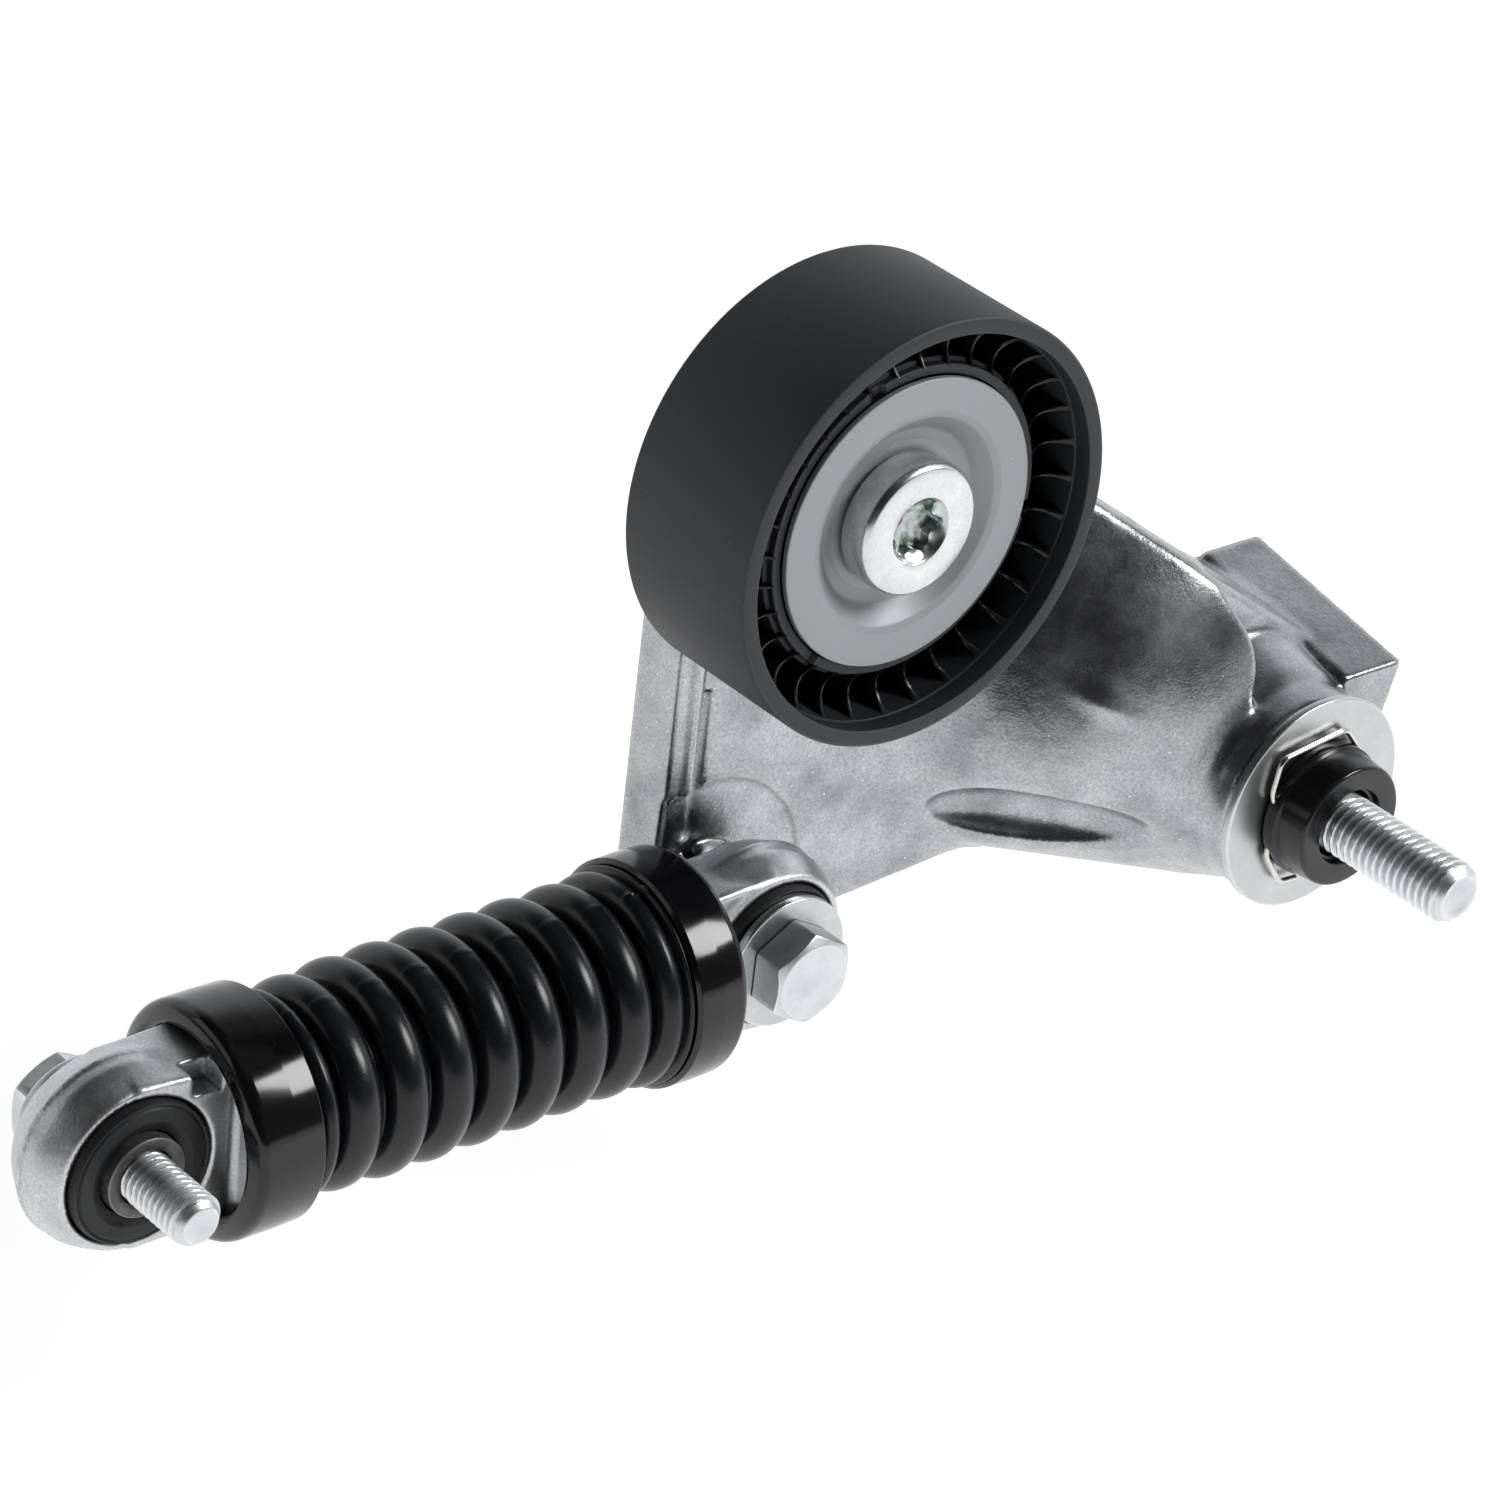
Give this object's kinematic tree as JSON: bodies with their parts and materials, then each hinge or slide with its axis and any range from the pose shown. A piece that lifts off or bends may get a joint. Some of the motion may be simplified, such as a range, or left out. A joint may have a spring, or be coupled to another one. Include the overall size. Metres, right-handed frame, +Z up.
{
  "type": "belt tensioner idler",
  "caption": "Belt tensioner with a cast arm on a pivot bolt, a smooth idler pulley on a ball bearing, and a sprung hydraulic strut under a rubber bellows.",
  "frame": {"origin": "on the pivot axis, in the front face of the thrust washer", "axes": "+Y along all the bolts, away from the engine; -X from the pivot towards the pulley and the strut; +Z up, towards the pulley"},
  "size_m": [0.2421, 0.0868, 0.1215],
  "materials": {
    "cast_aluminium": "as cast, blotchy grey with a fine grain",
    "zinc_steel": "bright zinc plating",
    "bearing_steel": "ground steel",
    "cap_grey": "matte grey coated steel pressing",
    "black_plastic": "moulded glass-filled plastic, satin",
    "black_rubber": "smooth moulded rubber, soft sheen",
    "gloss_black": "gloss black",
    "bush_bronze": "sintered bronze"
  },
  "bodies": {
    "pivot": {"pivot_bolt": "zinc_steel", "pivot_inner_sleeve": "bearing_steel", "pivot_thrust_washer": "zinc_steel", "pivot_rear_washer": "zinc_steel", "bolt_retaining_sleeve": "black_plastic", "retaining_clip": "zinc_steel"},
    "arm": {"tensioner_arm": "cast_aluminium", "pivot_bush_front": "bush_bronze", "pivot_bush_rear": "bush_bronze", "pulley_bolt": "zinc_steel", "pulley_hub_sleeve": "bearing_steel", "dust_cap": "cap_grey", "rear_dust_shield": "cap_grey", "bearing_inner_ring": "bearing_steel", "upper_bolt": "zinc_steel", "upper_bolt_washer": "zinc_steel", "upper_bush_sleeve": "bearing_steel"},
    "pulley": {"pulley": "black_plastic", "bearing_outer_ring": "bearing_steel", "bearing_seal_front": "black_rubber", "bearing_seal_rear": "black_rubber"},
    "bearing_cage": {"bearing_cage": "bearing_steel", "bearing_ball_1": "bearing_steel", "bearing_ball_2": "bearing_steel", "bearing_ball_3": "bearing_steel", "bearing_ball_4": "bearing_steel", "bearing_ball_5": "bearing_steel", "bearing_ball_6": "bearing_steel", "bearing_ball_7": "bearing_steel", "bearing_ball_8": "bearing_steel"},
    "strut_upper": {"upper_eye": "cast_aluminium", "upper_bush_rubber": "black_rubber", "piston_rod": "bearing_steel", "plunger": "bearing_steel", "collar_upper": "gloss_black", "bellows": "black_rubber", "compression_spring": "bearing_steel"},
    "strut_lower": {"lower_eye": "cast_aluminium", "lower_bush_rubber": "black_rubber", "pressure_cylinder": "bearing_steel", "check_valve": "bearing_steel", "rod_guide": "bearing_steel", "rod_seal": "black_rubber", "collar_lower": "gloss_black"},
    "lower_pin": {"lower_bolt": "zinc_steel", "lower_bush_sleeve": "bearing_steel", "lower_bolt_washer": "zinc_steel"}
  },
  "joints": [
    {"name": "arm_swing", "type": "hinge", "parent": "pivot", "child": "arm", "pos_m": [0, 0, 0], "axis": [0, 1, 0], "range_deg": [-10, 12], "stiffness_Nm_per_rad": 80},
    {"name": "pulley_spin", "type": "hinge", "parent": "arm", "child": "pulley", "pos_m": [-0.0851, 0.0165, 0.0654], "axis": [0, 1, 0], "continuous": true},
    {"name": "ball_orbit", "type": "hinge", "parent": "arm", "child": "bearing_cage", "pos_m": [-0.0851, 0.0165, 0.0654], "axis": [0, 1, 0], "continuous": true},
    {"name": "strut_swing", "type": "hinge", "parent": "arm", "child": "strut_upper", "pos_m": [-0.0927, 0.0215, -0.0064], "axis": [0, 1, 0], "range_deg": [-15, 15], "stiffness_Nm_per_rad": 15},
    {"name": "strut_stroke", "type": "slide", "parent": "strut_upper", "child": "strut_lower", "axis": [1, 0, 0], "range_m": [0, 0.012], "stiffness_N_per_m": 15000, "springref_m": -0.004, "deforming": ["bellows", "compression_spring"]},
    {"name": "lower_bush_twist", "type": "hinge", "parent": "strut_lower", "child": "lower_pin", "pos_m": [-0.2027, 0.0215, -0.0064], "axis": [0, 1, 0], "range_deg": [-15, 15], "stiffness_Nm_per_rad": 5}
  ],
  "couplings": [
    {"joint": "ball_orbit", "follows": "pulley_spin", "ratio": 0.62}
  ]
}
